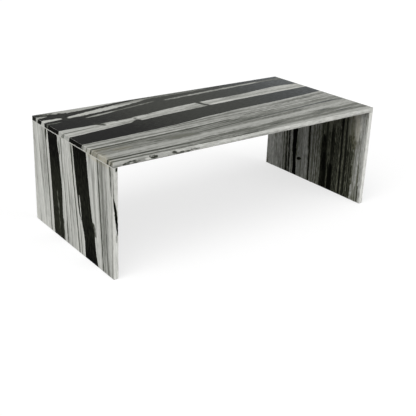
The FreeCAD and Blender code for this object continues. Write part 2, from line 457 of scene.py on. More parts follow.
class StoneStreak(Effect):
    """Lays a vein that swells from one end and tapers to the other."""

    takes = (
        "Tone", "Run", "Across", "Run From", "Run To", "Across From", "Across To", "Bow", "Half Width",
        "Taper", "Softness", "Streak Tone", "Strength", "Ragged", "Whole", "Breakup",
    )
    gives = ("Tone",)
    arch: ClassVar[float] = 4.0
    end_fade: ClassVar[float] = 10.0

    @classmethod
    def wire(cls, shader: Shader, given: NodeOutputs) -> dict[str, NodeSocket]:
        """Works out the vein's line and width, then lays it.

        Args:
            shader: the group's tree.
            given: the sockets of the group's inputs.

        Returns:
            The socket behind each output, by name.
        """
        share = shader.remap(given["Run"], given["Run From"], given["Run To"], ease=Ease.STRAIGHT)
        share = shader.math("MAXIMUM", shader.math("MINIMUM", share, 1.0), 0.0)
        # The swell is an arch: 0 at both ends of the vein, and 1 halfway.
        square = shader.math("MULTIPLY", share, share)
        swell = shader.math("MULTIPLY", shader.math("SUBTRACT", share, square), cls.arch)
        line = shader.remap(share, 0.0, 1.0, given["Across From"], given["Across To"], Ease.STRAIGHT)
        line = shader.math("MULTIPLY_ADD", swell, given["Bow"], line)
        gap = shader.math("ABSOLUTE", shader.math("SUBTRACT", given["Across"], line))
        half = shader.math("MULTIPLY", shader.math("POWER", swell, given["Taper"]), given["Half Width"])
        half = shader.math("MULTIPLY", half, given["Ragged"])
        inner = shader.math("SUBTRACT", half, given["Softness"])
        outer = shader.math("ADD", half, given["Softness"])
        mask = shader.remap(gap, inner, outer, 1.0, 0.0)
        fade = shader.math("MINIMUM", shader.math("MULTIPLY", swell, cls.end_fade), 1.0)
        mask = shader.math("MULTIPLY", shader.math("MULTIPLY", mask, fade), given["Strength"])
        mask = shader.mix(given["Breakup"], mask, shader.math("MULTIPLY", mask, given["Whole"]))
        return {"Tone": shader.mix(mask, given["Tone"], given["Streak Tone"])}


class SlabFaces(Effect):
    """Tells a slab's faces apart by their normal in slab axes: broad, back, front edge and near end."""

    takes = ("Normal",)
    gives = ("Broad", "Back", "Front", "End")
    square: ClassVar[Station] = (0.75, 0.95)
    end_turn: ClassVar[Station] = (-0.3, -0.8)

    @classmethod
    def wire(cls, shader: Shader, given: NodeOutputs) -> dict[str, NodeSocket]:
        """Masks each face by how squarely the normal points out of it.

        Args:
            shader: the group's tree.
            given: the sockets of the group's inputs.

        Returns:
            The socket behind each output, by name.
        """
        run, across, depth = shader.split(given["Normal"])
        return {
            "Broad": shader.remap(shader.math("ABSOLUTE", depth), *cls.square),
            "Back": shader.remap(depth, *cls.square),
            "Front": shader.remap(across, -cls.square[0], -cls.square[1]),
            "End": shader.remap(run, *cls.end_turn),
        }


class ArrisWear(Effect):
    """Marks the eased edges of a slab, broken up as handling breaks them."""

    takes = ("Position", "Middle", "Half Size", "Reach")
    gives = ("Wear",)
    patches: ClassVar[Texture] = Texture((70.0, 70.0, 70.0), 3.0, 0.6)
    patch_range: ClassVar[Station] = (-1.0, 1.2)
    reach_share: ClassVar[Station] = (0.1, 1.6)

    @classmethod
    def wire(cls, shader: Shader, given: NodeOutputs) -> dict[str, NodeSocket]:
        """Measures how near the second nearest face is.

        Args:
            shader: the group's tree.
            given: the sockets of the group's inputs.

        Returns:
            The socket behind each output, by name.
        """
        offset = shader.vector("SUBTRACT", given["Position"], given["Middle"])
        inset = shader.vector("SUBTRACT", given["Half Size"], shader.vector("ABSOLUTE", offset))
        along, across, depth = shader.split(inset)
        nearer = shader.math("MINIMUM", along, across)
        farther = shader.math("MAXIMUM", along, across)
        second = shader.math("MAXIMUM", nearer, shader.math("MINIMUM", farther, depth))
        patches = shader.noise(given["Position"], cls.patches)
        share = shader.remap(patches, *cls.patch_range, *cls.reach_share)
        wide = shader.math("MULTIPLY", given["Reach"], share)
        return {"Wear": shader.remap(second, wide, 0.0)}


# Veins, in millimetres along and across a slab's face; a tone is 0 for black and 1 for white


@dataclass(frozen=True)
class Canvas:
    """Where veins are painted: along and across a face, what breaks them up, and where they show."""

    shader: Shader
    run: Value
    across: Value
    breaks: NodeOutputs
    mask: NodeSocket | None = None


@dataclass(frozen=True)
class Band:
    """A wide band between two edges that drift along the slab, with a tone at each station."""

    near: tuple[Station, ...]
    far: tuple[Station, ...]
    tones: tuple[Station, ...]
    rims: tuple[float, float] = (0.0, 0.0)
    rim_tone: float = 0.72
    rim_width: float = 9.0
    softness: float = 1.2

    def paint(self, canvas: Canvas, tone: Value) -> NodeSocket:
        """Lays the band over a tone.

        Args:
            canvas: where the band is painted.
            tone: the tone so far.

        Returns:
            The socket of the new tone.
        """
        shader = canvas.shader
        values = {
            "Tone": tone,
            "Across": canvas.across,
            "Near": shader.curve(canvas.run, self.near, MM),
            "Far": shader.curve(canvas.run, self.far, MM),
            "Softness": self.softness * MM,
            "Band Tone": shader.curve(canvas.run, self.tones),
            "Rim Tone": self.rim_tone,
            "Rim Width": self.rim_width * MM,
            "Near Rim": self.rims[0],
            "Far Rim": self.rims[1],
        }
        return StoneBand.place(shader, values)["Tone"]


@dataclass(frozen=True)
class Streak:
    """A vein from one end to the other; a crossing one runs across the slab instead of along it.

    The half width is that of its middle, and the lower the taper, the longer it
    stays wide.  The bow pushes its middle across, and the breakup takes away
    what lies in patchy stone.
    """

    start: Station
    end: Station
    half_width: float
    tone: float
    softness: float = 1.2
    breakup: float = 0.0
    strength: float = 1.0
    bow: float = 0.0
    taper: float = 0.5
    crossing: bool = False

    def paint(self, canvas: Canvas, tone: Value) -> NodeSocket:
        """Lays the vein over a tone.

        Args:
            canvas: where the vein is painted.
            tone: the tone so far.

        Returns:
            The socket of the new tone.
        """
        shader, run, across = canvas.shader, canvas.run, canvas.across
        if self.crossing:
            run, across = across, run
        strength = self.strength
        if canvas.mask is not None:
            strength = shader.math("MULTIPLY", canvas.mask, strength)
        lengths = {
            "Run From": self.start[0], "Run To": self.end[0],
            "Across From": self.start[1], "Across To": self.end[1],
            "Bow": self.bow, "Half Width": self.half_width, "Softness": self.softness,
        }
        values = {
            "Tone": tone, "Run": run, "Across": across, "Taper": self.taper, "Streak Tone": self.tone,
            "Strength": strength, "Ragged": canvas.breaks["Ragged"], "Whole": canvas.breaks["Whole"],
            "Breakup": self.breakup,
        }
        values.update({name: length * MM for name, length in lengths.items()})
        return StoneStreak.place(shader, values)["Tone"]


@dataclass(frozen=True)
class Veins:
    """The pattern of one slab: its ground tone from front to back, then what is laid over it, in order.

    Veins of the front edge lie along the slab and down from its face; stains of
    the end lie across the slab and down from its face.  The dip slants all veins
    with their depth, and the drift and the fan slant the ground and its grain.
    The contrast and the mottle are the strength of that grain, and the last stations give a painted
    reflection: how strongly it tints the blacks bluish along the slab.
    """

    ground: tuple[Station, ...]
    bands: tuple[Band, ...]
    streaks: tuple[Streak, ...]
    front_edge: tuple[Streak, ...] = ()
    stains: tuple[Streak, ...] = ()
    end_stains: tuple[Streak, ...] = ()
    dip: float = 0.0
    drift: float = 0.0
    fan: float = 0.0
    contrast: float = 1.0
    mottle: float = 0.02
    # The stations of a painted reflection: how strongly it tints the blacks bluish along the slab.
    painted_sheen: tuple[Station, ...] = ((0, 0.0), (1, 0.0))


def fibres(
    places: Sequence[float], run: Station, half_width: float, tone: float, lean: float, breakup: float,
    softness: float = 2.0,
) -> tuple[Streak, ...]:
    """Thin veins of one kind, at places across the slab; their ends lean away from their starts."""
    ends = [((run[0], place), (run[1], place + lean)) for place in places]
    return tuple(Streak(start, end, half_width, tone, softness, breakup) for start, end in ends)


# A streak: where it starts and ends, half its width, its tone, how soft and how broken up it is


TOP_VEINS = Veins(
    ground=(
        (-316, 0.52), (-300, 0.50), (-283, 0.47), (-262, 0.52), (-235, 0.56), (-205, 0.50), (-180, 0.47),
        (-150, 0.51), (-110, 0.54), (-60, 0.55), (-20, 0.58), (20, 0.64), (90, 0.635), (140, 0.63),
        (200, 0.64), (316, 0.60),
    ),
    bands=(
        Band(
            near=(
                (-650, -102), (-550, -97), (-450, -92), (-350, -86), (-250, -80), (-150, -67), (-50, -51),
                (0, -47), (100, -36), (250, -27), (400, -18), (500, -10), (650, 3),
            ),
            far=(
                (-650, -4), (-600, 1), (-500, 14), (-400, 28), (-300, 42), (-200, 53), (-100, 59), (0, 68),
                (100, 76), (200, 81), (400, 88), (500, 93), (650, 100),
            ),
            # The tone rises towards the right end: a painted reflection on the black band.
            tones=(
                (-650, 0.0), (-420, 0.0), (-250, 0.08), (-100, 0.125), (200, 0.165), (400, 0.19),
                (650, 0.25),
            ),
            rims=(0.6, 0.3),
            rim_tone=0.66,
        ),
        Band(
            near=(
                (-650, 80), (-560, 81), (-400, 83), (-300, 91), (-250, 97), (-200, 108), (-100, 124),
                (0, 134), (200, 140), (350, 152), (450, 164), (540, 171), (590, 166), (650, 142),
            ),
            far=((-650, 420), (650, 420)),
            # The tone rises towards the right end: a painted reflection on the black band.
            tones=((-650, 0.0), (-450, 0.04), (-200, 0.15), (100, 0.17), (400, 0.205), (650, 0.285)),
        ),
    ),
    streaks=(
        # Pale tongues in the rear band, from the left end.
        Streak((-800, 215), (-560, 217), 15, 0.69, 3, taper=0.4),
        Streak((-760, 176), (-582, 178), 6, 0.42, 4, 0.5),
        Streak((-566, 212), (-130, 293), 19, 0.67, 4, bow=-2),
        Streak((-300, 272), (-90, 300), 12, 0.46, 6, strength=0.8),
        Streak((-486, 179), (-318, 209), 8, 0.57, 4, bow=-3, taper=0.7),
        Streak((-350, 202), (-112, 244), 5.5, 0.44, 4, 0.25),
        Streak((-760, 271), (-604, 271), 11, 0.66, 5, 0.3),
        Streak((-640, 300), (-535, 300), 14, 0.52, 6, 0.5),
        Streak((-575, 296), (-170, 340), 26, 0.60, 4, bow=-8, taper=0.3),
        Streak((-620, 252), (-190, 312), 10, 0.06, 3, bow=-6, taper=0.4),
        Streak((-760, 298), (-590, 297), 8, 0.09, 5, 0.4),
        Streak((180, -558), (292, -546), 13, 0.06, 5, bow=-3, crossing=True),
        # The long pale streak on the right, and the grey back edge.
        Streak((-76, 236), (560, 276), 9.5, 0.54, 4, 0.25, bow=3, taper=0.3),
        Streak((60, 246), (200, 255), 5, 0.56, 4),
        Streak((262, 259), (350, 267), 7, 0.58, 4),
        Streak((380, 269), (500, 271), 6, 0.60, 4),
        Streak((480, 272), (900, 280), 9, 0.36, 5),
        Streak((-150, 300), (220, 302), 12, 0.38, 6, 0.3),
        # The pale stripe between the black bands, and its breaks.
        Streak((-900, 14), (-470, 62), 5, 0.38, 3),
        Streak((-900, 62), (-474, 72), 13, 0.70, 5, strength=0.7),
        Streak((-900, -4), (-380, 48), 12, 0.70, 5, bow=3, strength=0.7),
        Streak((110, -488), (54, -464), 14, 0.12, 8, strength=0.85, taper=0.8, crossing=True),
        Streak((-474, 78), (-396, 82), 6.5, 0.60, 5, 0.4, taper=0.8),
        Streak((108, -404), (76, -396), 6, 0.14, 7, strength=0.8, taper=0.8, crossing=True),
        Streak((0, -348), (58, -318), 24, 0.06, 5, taper=0.8, crossing=True),
        Streak((58, -322), (104, -304), 7, 0.22, 6, 0.6, strength=0.8, crossing=True),
        Streak((-326, 86), (-240, 92), 8, 0.68, 4, strength=0.8),
        Streak((170, 33), (96, 41), 12, 0.19, 7, taper=0.8, crossing=True),
        Streak((124, 38), (54, 66), 10, 0.19, 8, bow=-3, crossing=True),
        Streak((60, 84), (210, 92), 9, 0.72, 3),
        Streak((180, 90), (900, 112), 6, 0.68, 3, taper=0.2),
        Streak((52, 126), (180, 134), 9, 0.68, 4),
        Streak((62, 106), (330, 112), 7, 0.52, 5, 0.3, strength=0.8),
        Streak((230, 132), (900, 160), 14, 0.68, 8, strength=0.6),
        Streak((390, 116), (900, 130), 4, 0.48, 3, strength=0.8),
        # Long lines in the grey front, from the black band to the front edge.
        Streak((-290, -653), (-110, -653), 11, 0.70, 6, strength=0.7, crossing=True),
        Streak((-900, -112), (-380, -106), 3, 0.38, 2, 0.3),
        Streak((-900, -136), (-180, -90), 6, 0.62, 4, bow=-4, strength=0.8),
        Streak((-430, -98), (-290, -92), 6, 0.40, 4, 1.0, taper=0.8),
        Streak((-340, -94), (180, -56), 3.4, 0.30, 2, 0.2, bow=2),
        Streak((-300, -106), (160, -80), 3.4, 0.34, 2, 0.3, bow=-1),
        Streak((-900, -142), (-160, -124), 3.6, 0.36, 2, 0.2),
        Streak((-900, -160), (60, -118), 4, 0.66, 2.5, bow=-5),
        Streak((-900, -172), (20, -132), 5, 0.24, 2, bow=-7, taper=0.3),
        Streak((-900, -200), (160, -186), 26, 0.44, 16, strength=0.5),
        Streak((-430, -184), (-345, -190), 6, 0.26, 4, 0.5, taper=0.8),
        Streak((-415, -206), (-362, -204), 5, 0.30, 4, 0.4),
        Streak((-360, -200), (-205, -212), 24, 0.36, 12, 0.3, strength=0.85),
        Streak((360, -172), (900, -146), 13, 0.60, 8, strength=0.7),
        Streak((-240, -204), (620, -131), 4.8, 0.27, 2.5, 0.2, bow=4, taper=0.4),
        Streak((-190, -182), (300, -142), 3, 0.30, 2, 0.3),
        Streak((-120, -162), (420, -122), 3, 0.34, 2, 0.4),
        Streak((-80, -118), (900, -42), 5, 0.61, 3, strength=0.8),
        Streak((300, -50), (620, -30), 3, 0.42, 2, 0.4),
        Streak((430, -90), (610, -78), 4, 0.40, 3, 0.6, taper=0.8),
        Streak((430, -114), (620, -101), 5, 0.36, 3, 0.6, taper=0.8),
        Streak((320, -128), (470, -117), 4, 0.42, 3, 0.5),
        *fibres((-184, -212), (-820, -280), 2.4, 0.36, lean=8, breakup=0.6),
        *fibres((-92, -126), (-60, 700), 2.6, 0.66, lean=46, breakup=0.3),
        *fibres((-74, -108), (0, 720), 2.4, 0.42, lean=44, breakup=0.35),
        Streak((-900, -260), (900, -168), 17, 0.62, 8, bow=-12, strength=0.75),
        Streak((-900, -286), (-180, -276), 5, 0.22, 2, bow=-2, taper=0.25),
        Streak((-360, -284), (260, -252), 5, 0.34, 3, 0.2, bow=-3),
        Streak((40, -262), (900, -214), 8, 0.38, 5, bow=-3, strength=0.9),
        Streak((-900, -298), (-260, -294), 4, 0.61, 2),
        Streak((-900, -309), (-300, -304), 3.6, 0.30, 2, 0.3),
        Streak((-120, -282), (900, -258), 8, 0.39, 5, 0.2, bow=-10, strength=0.85),
        Streak((60, -312), (1200, -290), 14, 0.62, 5, strength=0.8),
    ),
    front_edge=(
        Streak((-900, 6), (900, 6), 12, 0.72, 6, strength=0.6),
        Streak((-690, 10), (-240, 12), 12, 0.54, 6, strength=0.5),
        Streak((-612, 14), (-538, 12), 6, 0.12, 2.5, 1.0),
        Streak((-562, 10), (-508, 12), 8, 0.42, 4, 0.3, strength=0.8),
        Streak((-504, 5), (-466, 11), 7, 0.18, 3, 0.8),
        Streak((-522, 11), (-496, 13), 4, 0.68, 2, 0.3),
        Streak((-406, 8), (-382, 12), 5, 0.16, 2.5, 0.6),
        Streak((-388, 8), (-344, 10), 4, 0.68, 3, 0.3),
        Streak((-390, 15), (-324, 16), 4, 0.18, 2.5, 0.8),
        Streak((-326, 11), (-282, 14), 4, 0.30, 2.5, 0.8),
        Streak((-306, 6), (-262, 8), 4, 0.68, 3, 0.3),
        Streak((-250, 14), (250, 15), 3, 0.50, 3, 1.0),
    ),
    stains=(
        Streak((-320, -654), (-150, -652), 22, 0.55, 16, 0.4, crossing=True),
        Streak((-650, -182), (-580, -178), 14, 0.5, 10),
        Streak((-590, -206), (-505, -208), 14, 0.6, 10, 0.2),
        Streak((-340, -202), (-225, -206), 16, 0.25, 10),
    ),
    end_stains=(Streak((-316, 12), (-120, 14), 12, 0.35, 8, 0.7),),
    dip=-0.3,
    drift=0.092,
    fan=0.196,
    contrast=1.15,
    mottle=0.055,
    # A painted reflection: the blacks turn bluish towards the right end.
    painted_sheen=((-650, 0.0), (0, 0.1), (250, 0.4), (450, 1.0), (650, 1.0)),
)

LEFT_LEG_VEINS = Veins(
    ground=(
        (-316, 0.70), (-290, 0.72), (-258, 0.65), (-240, 0.60), (-218, 0.61), (-198, 0.74), (-150, 0.73),
        (-60, 0.73), (0, 0.72), (40, 0.73), (100, 0.74), (185, 0.73), (215, 0.70), (245, 0.72),
        (260, 0.735), (316, 0.73),
    ),
    bands=(
        Band(
            near=(
                (0, 100), (50, 91), (100, 85), (150, 79), (200, 72), (250, 71), (300, 71), (350, 68),
                (427, 61),
            ),
            far=((0, 181), (50, 176), (100, 171), (200, 163), (300, 157), (350, 153), (427, 149)),
            tones=((0, 0.0), (60, 0.0), (160, 0.06), (427, 0.09)),
            rims=(0.2, 0.9),
            rim_tone=0.76,
            rim_width=11,
        ),
        Band(
            near=(
                (0, -128), (50, -134), (100, -141), (200, -156), (250, -165), (300, -180), (350, -186),
                (427, -200),
            ),
            far=(
                (0, -23), (50, -30), (100, -37), (150, -45), (200, -54), (250, -63), (268, -69), (284, -83),
                (305, -89), (350, -102), (400, -106), (427, -107),
            ),
            tones=((0, 0.0), (200, 0.05), (427, 0.0)),
            rims=(0.2, 0.9),
            rim_tone=0.76,
            rim_width=9,
        ),
    ),
    streaks=(
        # Around the rear black band.
        Streak((-90, 254), (440, 220), 2.4, 0.54, 1.2, 0.3),
        Streak((-90, 240), (330, 213), 2.6, 0.50, 1.2, 0.3),
        Streak((-60, 228), (200, 213), 3, 0.46, 1.2, 0.3),
        Streak((20, 215), (300, 200), 2.6, 0.48, 1.2, 0.2),
        Streak((-70, 205), (470, 170), 4, 0.34, 2, 0.1, bow=1, taper=0.3),
        Streak((-30, 199), (46, 195), 5, 0.12, 2.5),
        Streak((6, 96), (70, 84), 8, 0.74, 4),
        Streak((18, 90), (72, 81), 3.6, 0.24, 2.5, 0.2),
        Streak((226, 113), (304, 107), 4, 0.34, 2.5, 0.4),
        Streak((262, 104), (440, 97), 5, 0.32, 3, 0.6),
        Streak((330, 66), (470, 58), 5, 0.26, 3, 0.7),
        # Between the black bands.
        Streak((-40, 73), (180, 59), 3.6, 0.40, 2, 0.2),
        Streak((-40, 50), (470, 12), 2.4, 0.57, 1.2, 0.3),
        Streak((110, 53), (470, 22), 3.4, 0.42, 2, 0.15),
        Streak((330, 40), (470, 26), 6, 0.36, 3, 0.6),
        Streak((180, 16), (470, -6), 3, 0.48, 1.2, 0.3),
        Streak((-70, 4), (500, -72), 4.2, 0.28, 2, 0.1, bow=-2, taper=0.3),
        Streak((-40, -11), (100, -25), 3, 0.26, 2, 0.2),
        Streak((60, 8), (470, -34), 2.2, 0.52, 1.2, 0.3),
        Streak((300, -72), (470, -88), 3, 0.42, 1.2, 0.4),
        Streak((184, -68), (280, -80), 5, 0.74, 2),
        Streak((186, -63), (292, -79), 2.0, 0.10),
        # In front of them.
        Streak((258, -172), (312, -189), 8, 0.14, 4, 0.5),
        Streak((388, -190), (450, -203), 6, 0.05, 3, 0.2),
        Streak((-60, -150), (470, -214), 2.4, 0.58, 1.2, 0.3),
        Streak((30, -170), (280, -196), 4, 0.56, 4, 0.2),
        Streak((-80, -204), (520, -252), 4.6, 0.26, 2, 0.1, bow=1, taper=0.3),
        Streak((-80, -217), (520, -262), 3, 0.38, 2, 0.2),
        Streak((-80, -229), (440, -262), 3, 0.40, 2, 0.3),
        Streak((-40, -237), (360, -261), 3.2, 0.44, 2, 0.4),
        Streak((60, -226), (300, -242), 3, 0.66, 2.5, 0.2),
        Streak((170, -259), (450, -282), 3.4, 0.34, 2, 0.25),
        Streak((-80, -276), (520, -302), 9, 0.73, 5, strength=0.7),
        Streak((-60, -291), (110, -304), 3.4, 0.22, 2, 0.2),
        Streak((90, -303), (470, -312), 2.4, 0.52, 2, 0.4),
    ),
    front_edge=(
        Streak((-60, 14), (520, 10), 12, 0.72, 6, strength=0.5),
        Streak((-90, 9), (130, 9), 12, 0.60, 6, 0.3, strength=0.6),
        Streak((-12, 18), (16, 13), 4, 0.10, 2),
        Streak((-60, -3), (160, 4), 1.6, 0.22, 1.2, 0.3),
        Streak((108, 2), (258, 19), 4.8, 0.01, 1.6, bow=1, taper=0.6),
        Streak((240, 15), (284, 12), 3, 0.44, 2.5, 0.5),
    ),
    stains=(Streak((-312, 0), (-130, 2), 9, 0.6, 8, crossing=True),),
    dip=-0.55,
    drift=-0.1,
    contrast=0.85,
    mottle=0.015,
)

RIGHT_LEG_VEINS = Veins(
    ground=(
        (-316, 0.70), (-285, 0.68), (-260, 0.62), (-248, 0.56), (-236, 0.50), (-205, 0.46), (-188, 0.33),
        (-60, 0.35), (-44, 0.52), (10, 0.59), (60, 0.65), (190, 0.57), (215, 0.62), (316, 0.63),
    ),
    bands=(
        Band(
            near=((0, 108), (200, 106), (300, 106), (350, 103), (427, 98)),
            far=((0, 142), (200, 136), (300, 131), (350, 127), (427, 123)),
            tones=((0, 0.0), (427, 0.0)),
        ),
    ),
    streaks=(
        # Behind the black band.
        Streak((330, 240), (427, 216), 6, 0.46, 4, strength=0.6),
        Streak((-80, 202), (440, 193), 3, 0.26, 2, 0.3),
        Streak((-80, 184), (520, 167), 4.6, 0.12, 2.5, 0.3),
        Streak((340, 172), (480, 166), 6, 0.05, 3),
        Streak((-80, 173), (520, 147), 5.4, 0.01, 2, 0.1),
        # Between the black band and the smoky one.
        Streak((100, 338), (66, 330), 8, 0.03, 3, bow=1, taper=0.8, crossing=True),
        Streak((-80, 78), (520, 70), 3, 0.44, 1.2, 0.4, strength=0.8),
        Streak((-80, 34), (520, 12), 5.4, 0.05, 3, 0.2),
        Streak((-80, 4), (520, -4), 2.6, 0.34, 1.2, 0.5),
        Streak((-80, -6), (520, -10), 2.2, 0.32, 1.2, 0.5),
        Streak((-80, -16), (520, -22), 3, 0.28, 1.2, 0.5),
        Streak((-80, -32), (520, -36), 3.2, 0.28, 1.2, 0.5),
        # The smoky band and the streaks in front of it.
        Streak((-170, -112), (150, -114), 60, 0.54, 24, strength=0.5),
        Streak((80, -86), (250, -84), 7, 0.12, 5, 0.5),
        Streak((165, -70), (340, -76), 18, 0.0, 8, 0.55),
        Streak((250, -78), (640, -84), 21, 0.0, 7, 0.45, taper=0.4),
        Streak((100, -122), (340, -124), 8, 0.06, 5, 0.7),
        Streak((290, -122), (640, -124), 18, 0.0, 4, 0.2, taper=0.4),
        Streak((140, -97), (520, -105), 3.2, 0.36, 2.5, 0.3, strength=0.8),
        Streak((-80, -170), (520, -189), 5.5, 0.0, 3, 0.35),
        Streak((-80, -190), (520, -197), 4, 0.44, 3, 0.6, strength=0.7),
        Streak((40, -201), (520, -212), 5.5, 0.02, 4, 0.65),
        Streak((-140, -226), (170, -230), 20, 0.50, 10, 0.3, strength=0.6),
        Streak((124, -224), (640, -230), 21, 0.06, 8, 0.5, strength=0.9),
        *fibres((-138, -146, -155, -164, -214, -225, -237), (-80, 520), 2.4, 0.45, lean=-6, breakup=0.9),
        *fibres((-57, -131, -142, -151, -160), (60, 560), 3, 0.05, lean=-7, breakup=0.9),
        *fibres((-208, -219, -231, -243), (120, 560), 3, 0.05, lean=-7, breakup=0.9),
        Streak((60, -246), (640, -252), 9, 0.20, 6, 1.0),
        Streak((230, -289), (370, -292), 4, 0.22, 3, 0.5),
        Streak((350, -256), (470, -260), 7, 0.80, 4, 0.6, strength=0.8),
        Streak((350, -283), (480, -284), 3.4, 0.30, 2.5, 0.3),
        Streak((345, -297), (490, -298), 3.4, 0.16, 2.5, 0.2),
        Streak((-80, -286), (520, -291), 3, 0.44, 1.2, 0.5, strength=0.8),
        Streak((-80, -268), (520, -272), 3, 0.46, 1.2, 0.5, strength=0.7),
        # Painted light: a broad pale streak that lightens the top of the front, where the top slab shades
        # the leg.
        Streak((-260, -262), (150, -266), 30, 0.90, 14, 0.2, strength=0.6),
    ),
    front_edge=(Streak((-60, 10), (520, 10), 12, 0.72, 6, strength=0.6),),
    stains=(Streak((-60, -240), (190, -250), 28, 0.6, 16, 0.3),),
    dip=-0.55,
    drift=-0.02,
    contrast=1.2,
    mottle=0.11,
)


# Finishes


@dataclass(frozen=True)
class SlabAxes:
    """How the frame's coordinates turn into slab coordinates, and where the slab lies in them."""

    location: Vector
    turn: float
    scale: Place
    middle: Vector
    half_size: Vector

    def mapping(self, shader: Shader, vector: Value, reading: Reading) -> NodeSocket:
        """Turns a place or a direction of the frame into slab axes.

        Args:
            shader: the material's tree.
            vector: the place or direction.
            reading: which of the two it is.

        Returns:
            The result's socket.
        """
        inputs = {"Vector": vector, "Rotation": (0.0, self.turn, 0.0), "Scale": self.scale}
        if reading is Reading.PLACE:
            inputs["Location"] = self.location
        return shader.node("ShaderNodeMapping", inputs, vector_type=reading.value).outputs[0]


class Finish(Shader):
    """The node tree of a new material."""

    def __init__(self, name: str) -> None:
        """Makes the material, still empty.

        Args:
            name: the material's name.
        """
        self.material = bpy.data.materials.new(name)
        self.material.use_nodes = True
        super().__init__(self.material.node_tree)

    def end(self, shown: Node) -> None:
        """Makes a shader node the material's surface."""
        self.node("ShaderNodeOutputMaterial", {"Surface": shown.outputs[0]})

    def place(self) -> NodeSocket:
        """The place in the object's own coordinates, which are the frame's."""
        return self.node("ShaderNodeTexCoord").outputs["Object"]

    def surface(self, inputs: dict[str, Value]) -> Material:
        """Ends the tree in a Principled BSDF with these inputs, and gives the finished material."""
        self.end(self.node("ShaderNodeBsdfPrincipled", inputs))
        return self.material


@dataclass(frozen=True)
class Stone:
    """What the painting of one slab shares: its tree, its pattern, its place and the effects' outputs."""

    shader: Shader
    veins: Veins
    position: NodeSocket
    faces: NodeOutputs
    flow: NodeOutputs
    grain: NodeOutputs
    mottled: NodeOutputs
    flecked: NodeOutputs


